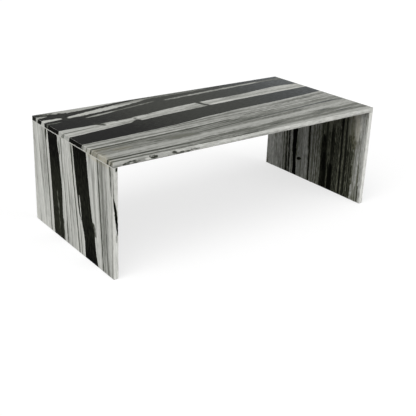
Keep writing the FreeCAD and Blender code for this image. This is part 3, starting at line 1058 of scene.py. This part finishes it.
@dataclass(frozen=True)
class Marble:
    """Striped marble: polished broad faces, honed edges and, where asked, a sawn back.

    Lengths are in millimetres.  Coarse and fine give the strength of the last
    mottling and dashes in black stone, and what white stone adds to it.  The
    relief is the strength of the bumps and their height.
    """

    polish: float = 0.18
    hone: float = 0.55
    saw: float = 0.85
    sawn_back: bool = False
    gloss: float = 0.003
    sway: float = 1.2
    fray: float = 1.5
    wander: float = 0.2
    structure: tuple[tuple[str, float], ...] = (
        ("Lines", 0.20), ("Dashes", 0.03), ("Clouds", 0.03), ("Threads", -0.20),
    )
    coarse: Station = (0.07, -0.08)
    fine: Station = (0.018, 0.03)
    sugar: float = 0.02
    hone_lift: float = 0.16
    black: Colour = (0.0010, 0.0011, 0.0007)
    dusk: Colour = (0.0315, 0.0335, 0.0265)
    grey: Colour = (0.130, 0.134, 0.117)
    pale: tuple[Colour, ...] = ((0.319, 0.322, 0.299), (0.602, 0.605, 0.570), (0.880, 0.882, 0.850))
    # The tint of a painted reflection on black stone, and the tones over which it fades out.
    painted_reflection: Colour = (0.95, 1.0, 1.24)
    painted_reflection_range: Station = (0.28, 0.33)
    stain: Colour = (0.96, 0.90, 0.74)
    worn: Colour = (0.62, 0.62, 0.59)
    worn_share: float = 0.35
    wear_reach: float = 1.8
    wear_dulling: float = 0.6
    cloud_dulling: float = 0.03
    edge_grain: float = 0.5
    face_grain: float = 0.06
    saw_marks: Texture = Texture((160.0, 3.0, 3.0))
    relief: Station = (0.4, 0.15)

    def material(self, name: str, veins: Veins, axes: SlabAxes) -> Material:
        """Wires the material of one slab.

        Args:
            name: the material's name.
            veins: the slab's pattern.
            axes: the slab's own coordinates.

        Returns:
            The material.
        """
        shader = Finish(name)
        place = shader.node("ShaderNodeTexCoord").outputs
        position = axes.mapping(shader, place["Object"], Reading.PLACE)
        normal = axes.mapping(shader, place["Normal"], Reading.DIRECTION)
        faces = SlabFaces.place(shader, {"Normal": normal})
        bends = {"Dip": veins.dip, "Drift": veins.drift, "Fan": veins.fan}
        bends |= {"Sway": self.sway * MM, "Fray": self.fray * MM}
        flow = StoneFlow.place(shader, {"Position": position, **bends})
        grain = StoneGrain.place(shader, {"Layer": flow["Layer"]})
        mottled = StoneBreaks.place(shader, {"Patches": grain["Mottle"]})
        flecked = StoneBreaks.place(shader, {"Patches": grain["Flecks"]})
        stone = Stone(shader, veins, position, faces, flow, grain, mottled, flecked)
        colour = self._colour(stone)
        slab = {"Middle": axes.middle, "Half Size": axes.half_size, "Reach": self.wear_reach * MM}
        wear = ArrisWear.place(shader, {"Position": position, **slab})["Wear"]
        inputs = {
            "Base Color": shader.blend(shader.math("MULTIPLY", wear, self.worn_share), colour, self.worn),
            "Roughness": self._roughness(stone, wear),
            "Normal": self._bump(stone),
            "Specular IOR Level": self.gloss,
        }
        return shader.surface(inputs)

    def _tone(self, stone: Stone) -> NodeSocket:
        """Paints the tone of the stone: its ground, then each vein in turn.

        Args:
            stone: what the painting shares.

        Returns:
            The tone's socket.
        """
        shader, veins, flow, grain = stone.shader, stone.veins, stone.flow, stone.grain
        # The veins wander a hair with the mottling; so they also come after it when the renderer works the
        # tree out, and it has few values to hold at a time.
        run = shader.math("MULTIPLY_ADD", grain["Mottle"], self.wander * MM, flow["Run"])
        across = shader.math("MULTIPLY_ADD", grain["Mottle"], self.wander * MM, flow["Across"])
        tone = shader.curve(shader.split(flow["Layer"])[1], veins.ground)
        for name, strength in self.structure:
            tone = shader.math("MULTIPLY_ADD", grain[name], strength * veins.contrast, tone)
        tone = shader.math("MULTIPLY_ADD", grain["Mottle"], veins.mottle, tone)
        face = Canvas(shader, run, across, stone.mottled)
        for vein in (*veins.bands, *veins.streaks):
            tone = vein.paint(face, tone)
        front = stone.faces["Front"]
        edge = Canvas(shader, run, flow["Depth"], stone.flecked, front)
        for vein in veins.front_edge:
            tone = vein.paint(edge, tone)
        for name, (black, white) in (("Mottle", self.coarse), ("Dashes", self.fine)):
            strength = shader.math("MULTIPLY_ADD", tone, white, black)
            tone = shader.math("MULTIPLY_ADD", grain[name], strength, tone)
        tone = shader.math("MULTIPLY_ADD", grain["Sugar"], self.sugar, tone)
        lit = shader.math("MULTIPLY_ADD", front, self.hone_lift, 1.0)
        return shader.math("MULTIPLY", tone, lit)

    def _colour(self, stone: Stone) -> NodeSocket:
        """Colours the stone: its tone, a painted reflection that tints its blacks bluish, and yellowed
        stains.

        Args:
            stone: what the painting shares.

        Returns:
            The colour's socket.
        """
        shader, veins, flow = stone.shader, stone.veins, stone.flow
        tone = self._tone(stone)
        colour = shader.ramp(tone, (self.black, self.dusk, self.grey, *self.pale))
        # A painted reflection: blacks are tinted bluish by place along the slab.
        black = shader.remap(tone, *self.painted_reflection_range, 1.0, 0.0)
        painted_reflection = shader.math("MULTIPLY", shader.curve(flow["Run"], veins.painted_sheen), black)
        colour = shader.blend(painted_reflection, colour, self.painted_reflection, Lay.TINT)
        face = Canvas(shader, flow["Run"], flow["Across"], stone.flecked)
        end = Canvas(shader, flow["Across"], flow["Depth"], stone.flecked, stone.faces["End"])
        masks = [stain.paint(face, 0.0) for stain in veins.stains]
        masks += [stain.paint(end, 0.0) for stain in veins.end_stains]
        for mask in masks:
            colour = shader.blend(mask, colour, self.stain, Lay.TINT)
        return colour

    def _roughness(self, stone: Stone, wear: NodeSocket) -> NodeSocket:
        """Works out how rough each face is.

        Args:
            stone: what the painting shares.
            wear: the mask of the worn edges.

        Returns:
            The roughness's socket.
        """
        shader = stone.shader
        rough = shader.mix(stone.faces["Broad"], self.hone, self.polish)
        if self.sawn_back:
            rough = shader.mix(stone.faces["Back"], rough, self.saw)
        rough = shader.math("MULTIPLY_ADD", stone.grain["Clouds"], self.cloud_dulling, rough)
        return shader.mix(shader.math("MULTIPLY", wear, self.wear_dulling), rough, self.saw)

    def _bump(self, stone: Stone) -> NodeSocket:
        """Roughens the honed edges and lays saw marks on a sawn back.

        Args:
            stone: what the painting shares.

        Returns:
            The normal's socket.
        """
        shader = stone.shader
        depth = shader.mix(stone.faces["Broad"], self.edge_grain, self.face_grain)
        height = shader.math("MULTIPLY", stone.grain["Sugar"], depth)
        if self.sawn_back:
            marks = shader.noise(stone.position, self.saw_marks)
            height = shader.math("ADD", height, shader.math("MULTIPLY", marks, stone.faces["Back"]))
        return shader.bump(*self.relief, height)


@dataclass(frozen=True)
class Resin:
    """Cured stone resin, pale and a little yellowed, with fine grit."""

    colour: Colour = (0.47, 0.47, 0.44)
    aged: Colour = (0.25, 0.24, 0.19)
    roughness: float = 0.45
    gloss: float = 0.2
    patches: Texture = Texture((22.0, 22.0, 22.0), 4.0, 0.6)
    grit: Texture = Texture((700.0, 700.0, 700.0), 1.0)
    ageing: Station = (-0.4, 1.4)
    aged_share: float = 0.8
    dulling: float = 0.08
    swell: float = 2.0
    relief: Station = (0.5, 0.1)

    def material(self) -> Material:
        """Wires the material.

        Returns:
            The material.
        """
        shader = Finish("joint_resin")
        place = shader.place()
        patches = shader.noise(place, self.patches)
        grit = shader.noise(place, self.grit)
        aged = shader.remap(patches, *self.ageing, 0.0, self.aged_share)
        inputs = {
            "Base Color": shader.blend(aged, self.colour, self.aged),
            "Roughness": shader.math("MULTIPLY_ADD", patches, self.dulling, self.roughness),
            "Normal": shader.bump(*self.relief, shader.math("MULTIPLY_ADD", patches, self.swell, grit)),
            "Specular IOR Level": self.gloss,
        }
        return shader.surface(inputs)


@dataclass(frozen=True)
class Steel:
    """Drawn stainless bar, with fine lines along its length."""

    colour: Colour = (0.56, 0.56, 0.55)
    dull: Colour = (0.38, 0.38, 0.37)
    roughness: float = 0.35
    line_detail: float = 3.0
    line_roughness: float = 0.6
    blotches: Texture = Texture((60.0, 60.0, 60.0), 3.0)
    blotch_range: Station = (-1.0, 1.5)
    dull_share: float = 0.5
    dulling: float = 0.07
    relief: Station = (0.3, 0.05)

    def material(self, name: str, bars: Bars) -> Material:
        """Wires the material for bars that lie one way.

        Args:
            name: the material's name.
            bars: which way they lie.

        Returns:
            The material.
        """
        shader = Finish(name)
        place = shader.place()
        lines = shader.noise(place, Texture(bars.value, self.line_detail, self.line_roughness))
        blotches = shader.noise(place, self.blotches)
        dull = shader.remap(blotches, *self.blotch_range, 0.0, self.dull_share)
        inputs = {
            "Base Color": shader.blend(dull, self.colour, self.dull),
            "Metallic": 1.0,
            "Roughness": shader.math("MULTIPLY_ADD", lines, self.dulling, self.roughness),
            "Normal": shader.bump(*self.relief, lines),
        }
        return shader.surface(inputs)


@dataclass(frozen=True)
class Felt:
    """Pressed wool felt: matted fibres in two greys."""

    light: Colour = (0.16, 0.155, 0.145)
    dark: Colour = (0.05, 0.05, 0.048)
    gloss: float = 0.1
    fibres: Texture = Texture((900.0, 700.0, 2500.0), 4.0, 0.7)
    clumps: Texture = Texture((260.0, 260.0, 260.0), 3.0, 0.6)
    clumping: float = 0.5
    contrast: Station = (-1.2, 1.2)
    roughness: Station = (0.88, 1.0)
    relief: Station = (0.9, 0.4)

    def material(self) -> Material:
        """Wires the material.

        Returns:
            The material.
        """
        shader = Finish("felt")
        place = shader.place()
        fibres = shader.noise(place, self.fibres)
        clumps = shader.noise(place, self.clumps)
        matted = shader.math("MULTIPLY_ADD", clumps, self.clumping, fibres)
        inputs = {
            "Base Color": shader.blend(shader.remap(matted, *self.contrast), self.dark, self.light),
            "Roughness": shader.remap(clumps, -1.0, 1.0, *self.roughness),
            "Normal": shader.bump(*self.relief, matted),
            "Specular IOR Level": self.gloss,
        }
        return shader.surface(inputs)


# Pieces


def nodes_named(prefix: str) -> list[str]:
    """The CAD nodes whose names start in one way, in order."""
    return sorted(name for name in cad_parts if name.startswith(prefix))


def add_object(name: str, data: bpy.types.ID) -> Object:
    """Adds an object to the scene.

    Args:
        name: the object's name.
        data: its mesh, lamp or camera.

    Returns:
        The new object.
    """
    made = bpy.data.objects.new(name, data)
    bpy.context.scene.collection.objects.link(made)
    return made


def add_mesh(name: str, shape: BMesh) -> Object:
    """Adds an object to the scene from a finished bmesh, which is used up.

    Args:
        name: the object's name.
        shape: its mesh, in the frame's coordinates.

    Returns:
        The new object.
    """
    mesh = bpy.data.meshes.new(name)
    shape.to_mesh(mesh)
    shape.free()
    return add_object(name, mesh)


def add_piece(name: str, shape: BMesh, material: Material) -> Object:
    """Adds a piece that rides on the table.

    Args:
        name: the piece's name.
        shape: its mesh, in the frame's coordinates.
        material: its finish.

    Returns:
        The new object.
    """
    piece = add_mesh(name, shape)
    piece.data.materials.append(material)
    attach(piece, BODY)
    return piece


def add_box(shape: BMesh, low: Vector, high: Vector) -> None:
    """Adds a box between two corners to a bmesh."""
    bmesh.ops.create_cube(shape, size=1.0, matrix=Matrix.LocRotScale((low + high) / 2, None, high - low))


def dress_nodes(prefix: str, material: Material) -> None:
    """Gives the CAD nodes that are kept their finish.

    Args:
        prefix: how the nodes' names start.
        material: the finish.
    """
    for node in nodes_named(prefix):
        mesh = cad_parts[node].data
        mesh.materials.clear()
        mesh.materials.append(material)
        log.info("dressed %s", node)


@dataclass
class Slab:
    """A stone slab that stands for a CAD node: eased, chipped edges, and the cuts for pins and rods."""

    node: str
    veins: Veins
    marble: Marble = Marble()
    arris: float = 1.2 * MM
    arris_steps: int = 3
    sharp_angle: float = math.radians(45)
    cell: float = 9 * MM
    chip: float = 0.9 * MM
    wear_cells: float = 90.0
    wear_share: float = 0.12
    chip_cells: float = 160.0
    chip_offset: Place = (7.3, 1.9, 4.4)
    chip_level: float = 0.42
    chip_share: float = 1.6
    pin_clearance: float = 1.0 * MM
    drill_steps: int = 32

    def axes(self) -> SlabAxes:
        """Where the slab's own coordinates lie in the frame."""
        raise NotImplementedError

    def cutters(self, shape: BMesh) -> None:
        """Adds the volumes that are cut out of the slab to a bmesh."""
        raise NotImplementedError

    def build(self) -> None:
        """Models the slab, cuts it and dresses it."""
        low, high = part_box(self.node)
        shape = bmesh.new()
        add_box(shape, low, high)
        self._divide(shape, high - low)
        self._ease(shape)
        material = self.marble.material(f"marble_{self.node}", self.veins, self.axes())
        piece = add_piece(f"{self.node}_stone", shape, material)
        self._cut(piece)
        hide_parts(self.node)
        log.info("built %s with %d faces", piece.name, len(piece.data.polygons))

    def _divide(self, shape: BMesh, size: Vector) -> None:
        """Divides the slab's edges into short lengths.

        Args:
            shape: the slab as a plain box.
            size: its size.
        """
        for axis in range(3):
            edges = [e for e in shape.edges if abs((e.verts[1].co - e.verts[0].co)[axis]) > size[axis] / 2]
            cuts = max(1, round(size[axis] / self.cell)) - 1
            bmesh.ops.subdivide_edges(shape, edges=edges, cuts=cuts, use_grid_fill=True)

    def _ease(self, shape: BMesh) -> None:
        """Rounds the sharp edges, then wears and chips them.

        Args:
            shape: the divided slab.
        """
        sharp = [e for e in shape.edges if e.calc_face_angle(0.0) > self.sharp_angle]
        eased = bmesh.ops.bevel(
            shape, geom=sharp, offset=self.arris, segments=self.arris_steps, profile=0.5,
            affect="EDGES", material=-1,
        )
        for face in eased["faces"]:
            face.smooth = True
        shape.normal_update()
        moves = {v: -v.normal * self._bite(v.co) for v in eased["verts"]}
        for vertex, move in moves.items():
            vertex.co += move

    def _bite(self, place: Vector) -> float:
        """How deep the edge is worn at a place.

        Args:
            place: a place on the edge.

        Returns:
            The depth, in metres.
        """
        wear = 0.5 + 0.5 * noise.noise(place * self.wear_cells)
        chips = noise.noise(place * self.chip_cells + Vector(self.chip_offset)) - self.chip_level
        return self.chip * (self.wear_share * wear + self.chip_share * max(0.0, chips))

    def _cut(self, piece: Object) -> None:
        """Cuts the holes and grooves out of the slab.

        Args:
            piece: the slab's object.
        """
        shape = bmesh.new()
        self.cutters(shape)
        tool = add_mesh("cuts", shape)
        cut = piece.modifiers.new("cuts", "BOOLEAN")
        cut.object = tool
        cut.solver = "EXACT"
        graph = bpy.context.evaluated_depsgraph_get()
        result = bpy.data.meshes.new_from_object(piece.evaluated_get(graph))
        piece.modifiers.clear()
        piece.data = result
        bpy.data.objects.remove(tool)

    def drill(self, shape: BMesh, side: Side, low: float, high: float) -> None:
        """Adds the drill's path for each pin of one joint.

        Args:
            shape: the bmesh of the cuts.
            side: the joint's end of the table.
            low: the lower end of the holes.
            high: their upper end.
        """
        for pin in nodes_named(f"{side.word}_joint_pin_"):
            near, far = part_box(pin)
            middle = (near + far) / 2
            middle.z = (low + high) / 2
            radius = (far.x - near.x) / 2 + self.pin_clearance
            bmesh.ops.create_cone(
                shape, cap_ends=True, segments=self.drill_steps, radius1=radius, radius2=radius,
                depth=high - low, matrix=Matrix.Translation(middle),
            )


@dataclass
class TopSlab(Slab):
    """The top: veins along X, painted down from the upper face, with a sawn underside."""

    node: str = "top_slab"
    veins: Veins = TOP_VEINS
    marble: Marble = Marble(gloss=0.008, sawn_back=True)
    pin_cover: float = 7 * MM

    def axes(self) -> SlabAxes:
        """Where the slab's own coordinates lie in the frame.

        Returns:
            The slab's axes.
        """
        low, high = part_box(self.node)
        size = high - low
        return SlabAxes(
            location=Vector((0, 0, high.z)),
            turn=0.0,
            scale=(1.0, 1.0, -1.0),
            middle=Vector((0, 0, size.z / 2)),
            half_size=size / 2,
        )

    def cutters(self, shape: BMesh) -> None:
        """Adds the pin holes and the rods' grooves.

        Args:
            shape: the bmesh of the cuts.
        """
        low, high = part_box(self.node)
        for side in Side:
            self.drill(shape, side, low.z - self.pin_cover, high.z - self.pin_cover)
        for node in nodes_named("rod_resin_"):
            near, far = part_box(node)
            near.z -= self.pin_cover
            add_box(shape, near, far)


@dataclass
class LegSlab(Slab):
    """A leg: veins down the slab, painted inwards from the face towards -X."""

    side: Side = Side.LEFT

    def axes(self) -> SlabAxes:
        """Where the slab's own coordinates lie in the frame.

        Returns:
            The slab's axes.
        """
        low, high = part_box(self.node)
        size = high - low
        return SlabAxes(
            location=Vector((high.z, 0, -low.x)),
            turn=-math.pi / 2,
            scale=(1.0, 1.0, 1.0),
            middle=Vector((size.z / 2, 0, size.x / 2)),
            half_size=Vector((size.z, size.y, size.x)) / 2,
        )

    def cutters(self, shape: BMesh) -> None:
        """Adds the pin holes.

        Args:
            shape: the bmesh of the cuts.
        """
        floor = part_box(f"{self.side.word}_joint_pin_1")[0].z
        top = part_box(self.node)[1].z
        self.drill(shape, self.side, floor, top + self.arris)


@dataclass
class Joint:
    """One butt joint: its cured resin, its pins, and the line of resin drawn off by hand."""

    side: Side
    resin: Material
    steel: Material
    line_height: float = 1.7 * MM
    line_rise: float = 1.3 * MM
    line_depth: float = 1.0 * MM
    line_proud: float = 0.15 * MM
    end_gap: float = 0.6 * MM
    step: float = 5 * MM
    ripple: float = 0.06 * MM
    ripples: tuple[Station, ...] = ((55.0, 1.0), (210.0, 0.5))
    waver: float = 0.35 * MM
    waver_cells: float = 80.0
    waver_offset: Place = (3.0, 5.0, 8.0)

    def build(self) -> None:
        """Dresses the joint's CAD nodes and models the drawn line."""
        word = self.side.word
        dress_nodes(f"{word}_joint_resin", self.resin)
        dress_nodes(f"{word}_joint_pin_", self.steel)
        piece = add_piece(f"{word}_joint_line", self._line(), self.resin)
        log.info("built %s", piece.name)

    def _line(self) -> BMesh:
        """Models the resin line as a thin bead with a wavering face.

        Returns:
            The line's mesh.
        """
        leg_low, leg_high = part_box(f"{self.side.word}_leg_slab")
        top_low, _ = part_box("top_slab")
        face = leg_low.x if self.side is Side.LEFT else leg_high.x
        middle = top_low.z + self.line_rise
        start, end = leg_low.y + self.end_gap, leg_high.y - self.end_gap
        inner = face - self.side.value * self.line_depth
        outer = face + self.side.value * self.line_proud
        foot, head = middle - self.line_height / 2, middle + self.line_height / 2
        corners = [(inner, foot), (outer, foot), (outer, middle), (outer, head), (inner, head)]
        shape = bmesh.new()
        section = shape.faces.new([shape.verts.new((x, start, z)) for x, z in corners])
        swept = bmesh.ops.extrude_face_region(shape, geom=[section])
        moved = [v for v in swept["geom"] if isinstance(v, BMVert)]
        bmesh.ops.translate(shape, vec=(0, end - start, 0), verts=moved)
        length = end - start
        long = [e for e in shape.edges if abs(e.verts[0].co.y - e.verts[1].co.y) > length / 2]
        bmesh.ops.subdivide_edges(shape, edges=long, cuts=round(length / self.step))
        bmesh.ops.recalc_face_normals(shape, faces=shape.faces)
        offset = Vector(self.waver_offset)
        for vertex in shape.verts:
            if abs(vertex.co.x - inner) > self.line_depth / 2:
                sway = sum(share * noise.noise(vertex.co * cells) for cells, share in self.ripples)
                vertex.co.x += self.side.value * self.ripple * sway
                vertex.co.z += self.waver * noise.noise(vertex.co * self.waver_cells + offset)
        for polygon in shape.faces:
            polygon.smooth = True
        return shape


@dataclass
class StiffeningRods:
    """The rods let into the underside, and the resin that fills their grooves."""

    resin: Material
    steel: Material

    def build(self) -> None:
        """Dresses the CAD nodes of the rods and their filling."""
        dress_nodes("rod_resin_", self.resin)
        dress_nodes("stiffening_rod_", self.steel)


@dataclass
class FootPads:
    """The felt pads under one leg."""

    side: Side
    felt: Material
    round_steps: int = 56
    edge: float = 0.6 * MM
    top_edge: float = 0.2 * MM
    bulge: float = 0.25 * MM
    weld: float = 0.01 * MM
    fuzz: float = 0.12 * MM
    fuzz_cells: float = 1400.0
    fuzz_from: float = 0.8

    def build(self) -> None:
        """Models every pad under the leg."""
        for node in nodes_named(f"{self.side.word}_foot_pad_"):
            piece = add_piece(f"{node}_felt", self._pad(node), self.felt)
            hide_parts(node)
            log.info("built %s", piece.name)

    def _pad(self, node: str) -> BMesh:
        """Models one pad: a turned disc that is pressed out at its side and fuzzy at its edge.

        Args:
            node: the CAD node that the pad stands for.

        Returns:
            The pad's mesh.
        """
        low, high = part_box(node)
        centre = (low + high) / 2
        radius = (high.x - low.x) / 2 - self.bulge
        outline = [
            (0.0, low.z),
            (radius / 2, low.z),
            (radius - self.edge, low.z),
            (radius, low.z + self.edge),
            (radius + self.bulge, centre.z),
            (radius, high.z - self.top_edge),
            (radius - self.top_edge, high.z),
            (radius / 2, high.z),
            (0.0, high.z),
        ]
        shape = bmesh.new()
        points = [shape.verts.new((centre.x + r, centre.y, z)) for r, z in outline]
        edges = [shape.edges.new(pair) for pair in zip(points, points[1:])]
        bmesh.ops.spin(
            shape, geom=points + edges, cent=centre, axis=(0, 0, 1), angle=math.tau,
            steps=self.round_steps, use_merge=True,
        )
        bmesh.ops.remove_doubles(shape, verts=shape.verts, dist=self.weld)
        bmesh.ops.recalc_face_normals(shape, faces=shape.faces)
        for vertex in shape.verts:
            out = (vertex.co - centre).to_2d()
            if out.length > radius * self.fuzz_from:
                push = self.fuzz * noise.noise(vertex.co * self.fuzz_cells)
                vertex.co.x += push * out.x / out.length
                vertex.co.y += push * out.y / out.length
        for polygon in shape.faces:
            polygon.smooth = True
        return shape


# Studio


@dataclass(frozen=True)
class Lamp:
    """A far, soft lamp: where its light comes from, how bright it makes a white card, and its spread."""

    name: str
    source: Place
    level: float
    spread: float

    def hang(self) -> None:
        """Adds the lamp to the scene."""
        lamp = bpy.data.lights.new(self.name, "SUN")
        lamp.energy = self.level * math.pi
        lamp.angle = math.radians(self.spread)
        hung = add_object(self.name, lamp)
        hung.rotation_euler = Vector(self.source).to_track_quat("Z", "Y").to_euler()


@dataclass
class Studio:
    """The floor, the light and the camera that the photograph was taken with."""

    frame_px: float = 416.0
    sensor: float = 36.0
    focal_px: float = 749.0
    principal_px: tuple[float, float] = (186.2, 177.6)
    position: Place = (-1.8445, -2.3620, 1.3383)
    azimuth: float = -36.3
    elevation: float = 21.62
    roll: float = 1.65
    sight: float = 100.0
    floor_size: float = 40.0
    floor_colour: Colour = (0.32, 0.32, 0.32)
    floor_lift: float = 0.69
    ambient: float = 0.40
    lamps: tuple[Lamp, ...] = (
        Lamp("key", (-0.50, -0.32, 0.80), 0.62, 55.0),
        Lamp("side", (-0.97, -0.05, 0.24), 0.34, 40.0),
        Lamp("fill", (0.35, -0.90, 0.26), 0.42, 40.0),
    )

    def build(self) -> None:
        """Sets up the whole studio."""
        bpy.context.scene.view_settings.view_transform = "Standard"
        self._camera()
        self._world()
        self._floor()
        for lamp in self.lamps:
            lamp.hang()
        log.info("set up the studio")

    def _camera(self) -> None:
        """Places the camera where the photograph was taken."""
        turn, tilt, roll = (math.radians(a) for a in (self.azimuth, self.elevation, self.roll))
        ahead = Vector((-math.sin(turn) * math.cos(tilt), math.cos(turn) * math.cos(tilt), -math.sin(tilt)))
        level = Vector((math.cos(turn), math.sin(turn), 0.0))
        upright = level.cross(ahead)
        right = level * math.cos(roll) + upright * math.sin(roll)
        up = upright * math.cos(roll) - level * math.sin(roll)
        camera = bpy.data.cameras.new("camera")
        camera.sensor_fit = "HORIZONTAL"
        camera.sensor_width = self.sensor
        camera.lens = self.focal_px * self.sensor / self.frame_px
        camera.shift_x = 0.5 - self.principal_px[0] / self.frame_px
        camera.shift_y = self.principal_px[1] / self.frame_px - 0.5
        camera.clip_end = self.sight
        eye = add_object("camera", camera)
        turned = Matrix((right, up, -ahead)).transposed().to_4x4()
        eye.matrix_world = Matrix.Translation(self.position) @ turned
        bpy.context.scene.camera = eye

    def _seen(self, shader: Shader) -> NodeSocket:
        """A mask of the rays that see the background: the camera's, and those mirrored or let through.

        Args:
            shader: the tree that uses the mask.

        Returns:
            The mask's socket.
        """
        path = shader.node("ShaderNodeLightPath").outputs
        seen = shader.math("ADD", path["Is Camera Ray"], path["Is Glossy Ray"])
        return shader.math("MINIMUM", shader.math("ADD", seen, path["Is Transmission Ray"]), 1.0)

    def _world(self) -> None:
        """Lights the scene evenly from all round, and shows white."""
        world = bpy.data.worlds.new("studio")
        world.use_nodes = True
        bpy.context.scene.world = world
        shader = Shader(world.node_tree)
        strength = shader.mix(self._seen(shader), self.ambient, 1.0)
        background = shader.node("ShaderNodeBackground", {"Color": WHITE, "Strength": strength})
        shader.node("ShaderNodeOutputWorld", {"Surface": background.outputs[0]})

    def _floor(self) -> None:
        """Lays a pale floor that shows white and keeps the table's shadow."""
        shape = bmesh.new()
        bmesh.ops.create_grid(shape, x_segments=1, y_segments=1, size=self.floor_size / 2)
        floor = add_mesh("floor", shape)
        shader = Finish("floor")
        lift = shader.math("MULTIPLY", self._seen(shader), self.floor_lift)
        matte = shader.node("ShaderNodeBsdfDiffuse", {"Color": self.floor_colour})
        glow = shader.node("ShaderNodeEmission", {"Color": WHITE, "Strength": lift})
        shader.end(shader.node("ShaderNodeAddShader", {0: matte.outputs[0], 1: glow.outputs[0]}))
        floor.data.materials.append(shader.material)


def main() -> None:
    """Builds the table piece by piece, then the studio."""
    logging.basicConfig(level=logging.INFO, format="%(message)s")
    resin = Resin().material()
    upright_steel = Steel().material("steel_pins", Bars.UPRIGHT)
    level_steel = Steel().material("steel_rods", Bars.LENGTHWISE)
    felt = Felt().material()
    TopSlab().build()
    warm = Marble(dusk=(0.0315, 0.0340, 0.0230))
    LegSlab("left_leg_slab", LEFT_LEG_VEINS, warm, side=Side.LEFT).build()
    olive = Marble(fray=3.5, dusk=(0.0315, 0.0335, 0.0240), grey=(0.131, 0.134, 0.099))
    LegSlab("right_leg_slab", RIGHT_LEG_VEINS, olive, side=Side.RIGHT).build()
    for side in Side:
        Joint(side, resin, upright_steel).build()
        FootPads(side, felt).build()
    StiffeningRods(resin, level_steel).build()
    Studio().build()


if __name__ == "__main__":
    main()
